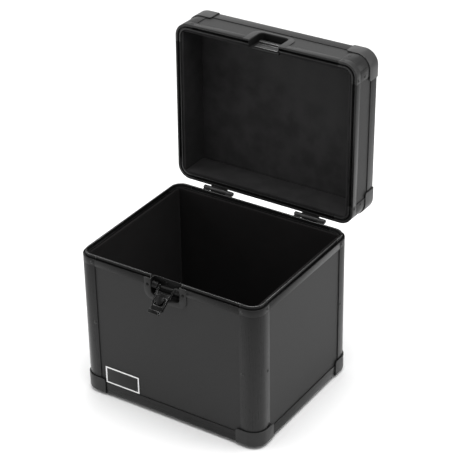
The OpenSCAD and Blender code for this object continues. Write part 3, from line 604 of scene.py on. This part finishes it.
def foam_sheet(name, width, height, thickness, place, notch=0.0):
    """A sheet that stands on z = 0 with its cloth face on y = 0 and its back towards +Y,
    cut out by notch in the middle of its upper edge. Its edges are softly rounded, and
    its corners give way to the round posts."""
    deselect_all()
    columns = round(width / GRID_COLUMN)
    rows = round(height / GRID_ROW)
    bpy.ops.mesh.primitive_grid_add(x_subdivisions=columns, y_subdivisions=rows, size=1)
    sheet = bpy.context.object
    sheet.name = name
    for vertex in sheet.data.vertices:
        x = vertex.co.x * width
        z = (vertex.co.y + 0.5) * height
        if notch:
            if abs(abs(x) - NOTCH_HALF) < width / columns / 2:
                x = math.copysign(NOTCH_HALF, x)
            if abs(z - height + notch) < height / rows / 2:
                z = height - notch
        vertex.co = (x, 0, z)
    bpy.ops.object.mode_set(mode="EDIT")
    bpy.ops.mesh.select_all(action="DESELECT")
    bpy.ops.object.mode_set(mode="OBJECT")
    for face in sheet.data.polygons:
        in_notch = abs(face.center.x) < NOTCH_HALF and face.center.z > height - notch
        face.select = bool(notch) and in_notch
    bpy.ops.object.mode_set(mode="EDIT")
    bpy.ops.mesh.delete(type="FACE")
    bpy.ops.object.mode_set(mode="OBJECT")
    foam = sheet.modifiers.new("foam", "SOLIDIFY")
    foam.thickness = thickness
    foam.offset = -1 if sheet.data.polygons[0].normal.y < 0 else 1
    bpy.ops.object.modifier_apply(modifier=foam.name)
    soft = sheet.modifiers.new("soft_edges", "BEVEL")
    soft.width = SOFT_EDGE
    soft.segments = 3
    soft.limit_method = "ANGLE"
    soft.angle_limit = math.radians(50)
    bpy.ops.object.modifier_apply(modifier=soft.name)
    own_ripples = Vector((width, 0, height)) * 50
    for vertex in sheet.data.vertices:
        vertex.co.y += noise.noise(vertex.co * RIPPLES_PER_METRE + own_ripples) * RIPPLE
    sheet.data.transform(place)
    for vertex in sheet.data.vertices:
        away = Vector((vertex.co.x, vertex.co.y, 0))
        centre = Vector((
            math.copysign(CASE_HALF.x - POST_CENTRE, away.x),
            math.copysign(CASE_HALF.y - POST_CENTRE, away.y), 0,
        ))
        out = away - centre
        at_post = abs(away.x) > abs(centre.x) and abs(away.y) > abs(centre.y)
        if at_post and out.length > POST_INSIDE:
            moved = centre + out.normalized() * POST_INSIDE
            vertex.co.x, vertex.co.y = moved.x, moved.y
    tidy_faces(sheet, smooth=60)
    return sheet


def line_walls(prefix, low, high, notch, finish, node, move=None):
    """The four wall sheets between two heights, with the front one cut out at the mouth,
    which is above, or below where the sheets are moved with the lid."""
    inner = CASE_HALF - Vector((LINING_FACE, LINING_FACE))
    thickness = LINING_FACE - LINING_BACK
    long_wall = 2 * (inner.x + LONG_SHEET_TUCK)
    short_wall = 2 * inner.y - SHORT_SHEET_PLAY
    for wall, width, turn, depth in (
        ("front", long_wall, 180, inner.y), ("rear", long_wall, 0, inner.y),
        ("left", short_wall, 90, inner.x), ("right", short_wall, -90, inner.x),
    ):
        place = Matrix.Rotation(math.radians(turn), 4, "Z") @ Matrix.Translation((0, depth, low))
        if move:
            upside_down = Matrix.Rotation(math.radians(180), 4, "Y")
            place = place @ Matrix.Translation((0, 0, high - low)) @ upside_down
        cut = notch if wall == "front" else 0.0
        sheet = foam_sheet(prefix + "_" + wall, width, high - low, thickness, place, cut)
        if move:
            sheet.data.transform(move)
        finish_piece(sheet, finish, node)


def pad_sheet(name, low, high, finish, node, move=None):
    """A pad that lies flat between the wall sheets, its cloth face up, or down in the lid."""
    half_x = CASE_HALF.x - LINING_FACE - PAD_PLAY
    half_y = CASE_HALF.y - LINING_FACE - PAD_PLAY
    face, turn = (low, 90) if move else (high, -90)
    flat = Matrix.Translation((0, 0, face)) @ Matrix.Rotation(math.radians(turn), 4, "X")
    centred = flat @ Matrix.Translation((0, 0, -half_y))
    pad = foam_sheet(name, 2 * half_x, 2 * half_y, high - low, centred)
    if move:
        pad.data.transform(move)
    finish_piece(pad, finish, node)


# One black cloth in three shades: the body's lining is painted darker, as painted shade inside the
# case, and the lid's walls and pad paler, as painted light on the open lid.
lining_finish = cloth_finish("black_cloth_painted_shade_body", 0.0026, warmth=1.2)
lit_lid_lining_finish = cloth_finish("black_cloth_painted_lit_lid", 0.0135)
lit_lid_pad_finish = cloth_finish("black_cloth_painted_lit_lid_pad", 0.0215, painted_corner_light=0.8)
line_walls("case_lining", BASE_TOP_Z, LINING_TOP_Z, LATCH_NOTCH, lining_finish, "case_lining")
pad_sheet("floor_pad_sheet", BASE_TOP_Z, PAD_FACE_Z, lining_finish, "floor_pad")
line_walls(
    "lid_lining", LID_LINING_LOW_Z, LID_BOARD_Z, CATCH_NOTCH, lit_lid_lining_finish, "lid_lining", OPENED
)
pad_sheet("lid_pad_sheet", LID_PAD_FACE_Z, LID_BOARD_Z, lit_lid_pad_finish, "lid_lining", OPENED)


# ---- Badge -------------------------------------------------------------------------------
# A thin black plate low on the front's left, glued on. It is bare, with a pale printed line
# round its edge that stands a hair proud.

BADGE_LINE = 0.0027
BADGE_LINE_IN = 0.0007
BADGE_LINE_RISE = 0.00015

badge_low, badge_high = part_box("badge_plate")
badge_finish = coated_steel_finish("black_plate", 0.009, rough=0.3, gloss=0.25)
softened("badge_plate", badge_finish, edge=0.0002)


def frame_line(name, low, high, y, width, rise):
    """A thin rectangular frame on the plane of y, between two corners."""
    deselect_all()
    centre = ((low.x + high.x) / 2, y, (low.z + high.z) / 2)
    bpy.ops.mesh.primitive_plane_add(size=1, location=centre, rotation=(math.radians(90), 0, 0))
    line = bpy.context.object
    line.name = name
    line.scale = (high.x - low.x, high.z - low.z, 1)
    bpy.ops.object.transform_apply(location=True, rotation=True, scale=True)
    bpy.ops.object.mode_set(mode="EDIT")
    bpy.ops.mesh.select_mode(type="FACE")
    bpy.ops.mesh.select_all(action="SELECT")
    bpy.ops.mesh.inset(thickness=width)
    bpy.ops.mesh.delete(type="FACE")
    bpy.ops.object.mode_set(mode="OBJECT")
    raised = line.modifiers.new("rise", "SOLIDIFY")
    raised.thickness = rise
    raised.offset = 1
    bpy.ops.object.modifier_apply(modifier=raised.name)
    rounding = line.modifiers.new("edges", "BEVEL")
    rounding.width = rise / 3
    rounding.segments = 2
    bpy.ops.object.modifier_apply(modifier=rounding.name)
    tidy_faces(line)
    return line


line_in = Vector((BADGE_LINE_IN, 0, BADGE_LINE_IN))
badge_line = frame_line(
    "badge_edge_line", badge_low + line_in, badge_high - line_in, badge_low.y,
    BADGE_LINE, BADGE_LINE_RISE,
)
ink = Finish("pale_ink", {"Specular IOR Level": 0.3})
worn = ink.noise(0.0012, detail=4.0)
ink.paint(
    Base_Color=ink.blend(worn.ramp(0.55, 0.8), grey(0.88), grey(0.6)),
    Roughness=0.5 + 0.2 * worn,
    Normal=ink.bump(worn, 0.00003, 0.5),
)
finish_piece(badge_line, ink, "badge_plate")


# ---- Feet --------------------------------------------------------------------------------
# Four turned rubber feet with grip grooves underneath. Each is held by a zinc-plated
# pan-head screw with a cross recess, sunk in its seat.

FOOT_X = 0.125
FOOT_Y = 0.095
FOOT_OUTLINE = (
    (0.0026, -0.00005), (0.0136, -0.00005), (0.0140, -0.0006), (0.0128, -0.0058),
    (0.0121, -0.0065), (0.0114, -0.0065), (0.0110, -0.0059), (0.0102, -0.0059),
    (0.0098, -0.0065), (0.0088, -0.0065), (0.0084, -0.0059), (0.0076, -0.0059),
    (0.0072, -0.0065), (0.0056, -0.0065), (0.0050, -0.0059), (0.0050, -0.0030),
    (0.0026, -0.0030),
)
SCREW_OUTLINE = (
    (0, -0.0048), (0.0030, -0.0048), (0.0040, -0.0044), (0.0045, -0.0037), (0.0045, -0.0030),
    (0.0023, -0.0030), (0.0023, -0.0002), (0, -0.0002),
)


def cross_recess(head, radius, width, low, high):
    """Cuts a driver's cross into a screw head, between two heights."""
    for turn in (0, 90):
        deselect_all()
        bpy.ops.mesh.primitive_cube_add(
            size=1, location=(0, 0, (low + high) / 2), rotation=(0, 0, math.radians(turn))
        )
        cutter = bpy.context.object
        cutter.scale = (2 * radius, width, high - low)
        bpy.ops.object.transform_apply(location=True, rotation=True, scale=True)
        select_only(head)
        cut = head.modifiers.new("cross", "BOOLEAN")
        cut.operation = "DIFFERENCE"
        cut.object = cutter
        bpy.ops.object.modifier_apply(modifier=cut.name)
        bpy.data.objects.remove(cutter)
    tidy_faces(head)


rubber = Finish("black_rubber", {"Specular IOR Level": 0.25})
rubber_grain = rubber.noise(0.001)
rubber.paint(
    Base_Color=rubber.blend(rubber_grain, grey(0.012), grey(0.02)),
    Roughness=0.75 + 0.15 * rubber_grain,
    Normal=rubber.bump(rubber_grain, 0.0001, 0.4),
)
feet_places = [
    Matrix.Translation((x, y, 0)) for x in (-FOOT_X, FOOT_X) for y in (-FOOT_Y, FOOT_Y)
]
feet = copies("rubber_feet", turned("foot", FOOT_OUTLINE, steps=48, closed=True), feet_places)
finish_piece(feet, rubber, "feet")

zinc = bright_steel_finish("zinc_plate", 0.6)
foot_screw = turned("foot_screw", SCREW_OUTLINE)
cross_recess(foot_screw, radius=0.0024, width=0.0009, low=-0.0060, high=-0.0038)
finish_piece(copies("foot_screw_heads", foot_screw, feet_places), zinc, "foot_screws")


# ---- Latch -------------------------------------------------------------------------------
# A deep-drawn dish in the front with a sprung arm on a cross pin. The arm carries a sliding
# hook, moved by a cam that two folding wings turn, all in black nickel rubbed at its edges.
# A second dish in the lid holds the strike plate that the hook catches.

PIVOT = Vector((0, -0.1435, 0.255))
LATCH_DISH_GREY = 0.020
# The lid's catch dish is painted paler than the latch dish, as painted light on the open lid.
CATCH_DISH_PAINTED_LIT_GREY = 0.034
# The near-black colour painted down in the dishes, as painted shade in the recess.
RECESS_SHADE_GREY = 0.0018
DISH_WORN_FROM_Z = 0.2655
FLANGE_RIVET_X = 0.0355
BACK_RIVET_AT = Vector((-0.006, -0.137, 0.262))
BACK_RIVET_SPREAD = 5.0 / 3.1
LATCH_EDGE = 0.0003


def dish_finish(name, level, axis, outside, inward):
    """Satin on the flange, with painted shade down in the dish: inward from the outside the colour
    darkens to near black and the surface grows dull.
    """
    dish = Finish(name, {"Specular IOR Level": 0.17})
    depth = inward * dish.along(axis) - inward * outside
    inside = depth.ramp(0.0008, 0.004)
    peel = dish.noise(0.0022, detail=1.0)
    cloud = dish.noise(0.012, detail=3.0)
    flange = dish.blend(cloud, grey(level * 0.9), grey(level * 1.1))
    dish.paint(
        Base_Color=dish.blend(inside, flange, grey(RECESS_SHADE_GREY)),
        Roughness=0.3 + 0.1 * cloud + 0.25 * inside,
        Normal=dish.bump(peel, 0.00003, 0.5),
    )
    return dish


latch_dish_finish = dish_finish("satin_latch_dish_painted_recess_shade", LATCH_DISH_GREY, "Y", -CASE_HALF.y, 1)
softened("latch_dish", latch_dish_finish, worn_edges=rubbed_edges, worn_from=DISH_WORN_FROM_Z)
catch_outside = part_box("catch_dish")[1].z
catch_dish_finish = dish_finish("satin_catch_dish_painted_recess_shade", CATCH_DISH_PAINTED_LIT_GREY, "Z", catch_outside, -1)
softened("catch_dish", catch_dish_finish, edge=0.0005, segments=3)

black_nickel = coated_steel_finish("black_nickel", 0.004, rough=0.22, gloss=0.11)
worn_nickel = bright_steel_finish("worn_nickel", 0.032, rough=0.24)
for latch_node in ("latch_arm", "latch_hook", "latch_cam", "wing_left", "wing_right"):
    softened(latch_node, black_nickel, LATCH_EDGE, worn_edges=rubbed_edges)
strike_finish = coated_steel_finish("rubbed_black_nickel", 0.024, rough=0.26)
strike_edges = bright_steel_finish("rubbed_strike_edges", 0.4)
softened("catch_strike", strike_finish, LATCH_EDGE, worn_edges=strike_edges)

facing_front = Matrix.Rotation(math.radians(90), 4, "X")
flange_rivets = copies(
    "latch_dish_rivet_heads", turned("rivet", RIVET_OUTLINE),
    [
        Matrix.Translation((x, -CASE_HALF.y, PIVOT.z)) @ facing_front
        for x in (-FLANGE_RIVET_X, FLANGE_RIVET_X)
    ],
)
finish_piece(flange_rivets, black_nickel, "latch_dish_rivets")
back_rivet_outline = [(radius * BACK_RIVET_SPREAD, height) for radius, height in RIVET_OUTLINE]
back_rivet = copies(
    "latch_back_rivet_head", turned("rivet", back_rivet_outline, steps=40),
    [Matrix.Translation(BACK_RIVET_AT) @ facing_front],
)
finish_piece(back_rivet, black_nickel, "latch_dish_rivets")
softened("latch_pin", worn_nickel, edge=0.0003)
softened("wing_pins", worn_nickel, edge=0.0002)


# ---- Latch springs -----------------------------------------------------------------------
# Two torsion springs of round wire, wound about the latch's cross pin, each with one leg on
# the dish's back and one beside the arm.

WIRE_RADIUS = 0.0007
COIL_RADIUS = 0.0055
COIL_PITCH = 0.0019
COIL_START = 90
COIL_END = 127 + 5 * 360
COIL_STEPS = 180
COIL_NEAR = 0.0172
COIL_FAR = COIL_NEAR + COIL_PITCH * (COIL_END - COIL_START) / 360
LEG_BACK = 0.0064
LEG_ARM = 0.005


def wire_coil(name, side):
    """A straight leg on the dish's back, the turns, and a leg beside the arm."""
    start = math.radians(COIL_START)
    end = math.radians(COIL_END)
    points = []
    for i in range(COIL_STEPS + 1):
        angle = start + (end - start) * i / COIL_STEPS
        x = COIL_FAR - (COIL_FAR - COIL_NEAR) * i / COIL_STEPS
        ring = Vector((side * x, COIL_RADIUS * math.cos(angle), COIL_RADIUS * math.sin(angle)))
        points.append(PIVOT + ring)
    points.insert(0, points[0] + Vector((0, LEG_BACK, 0)))
    points.append(points[-1] + Vector((0, -math.sin(end), math.cos(end))) * LEG_ARM)
    path = bpy.data.curves.new(name, "CURVE")
    path.dimensions = "3D"
    spline = path.splines.new("POLY")
    spline.points.add(len(points) - 1)
    for knot, point in zip(spline.points, points):
        knot.co = (*point, 1)
    path.bevel_depth = WIRE_RADIUS
    path.bevel_resolution = 3
    path.use_fill_caps = True
    coil = bpy.data.objects.new(name, path)
    bpy.context.scene.collection.objects.link(coil)
    select_only(coil)
    bpy.ops.object.convert(target="MESH")
    tidy_faces(coil, smooth=60)
    return coil


for side_name, side in (("left", -1), ("right", 1)):
    finish_piece(wire_coil("latch_spring_" + side_name, side), worn_nickel, "latch_springs")


# ---- Hinges ------------------------------------------------------------------------------
# Two black steel hinges at the rear, riveted on, each with a stop ledge that the lid's lug
# rests on.

hinge_finish = coated_steel_finish("black_hinge", 0.03, rough=0.3)
softened("hinge_leaves_case", hinge_finish, edge=0.0003)
softened("hinge_leaves_lid", hinge_finish, edge=0.0003)
softened("hinge_pins", worn_nickel, edge=0.0003)
dress("hinge_rivets_case", black_nickel)
dress("hinge_rivets_lid", black_nickel)


# ---- Handle ------------------------------------------------------------------------------
# A round steel bow that swings in two brackets on the lid's top board, with a moulded
# rubber grip.

bow_finish = bright_steel_finish("satin_steel", 0.3)
softened("handle_brackets", hinge_finish, edge=0.0006)
dress("handle_bow", bow_finish)
softened("handle_grip", rubber)


# ---- Floor -------------------------------------------------------------------------------
# The studio's floor, a wide sheet of matte white paper under the rubber feet. It isn't part
# of the case.

FLOOR_SIDE = 16
FLOOR_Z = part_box("feet")[0].z

deselect_all()
bpy.ops.mesh.primitive_plane_add(size=FLOOR_SIDE, location=(0, 0, FLOOR_Z))
floor = bpy.context.object
floor.name = "studio_floor"
paper = Finish("white_paper", {"Roughness": 0.9, "Specular IOR Level": 0.1})
paper.paint(Base_Color=paper.blend(paper.noise(0.4), grey(0.89), grey(0.91)))
floor.data.materials.append(paper.material)
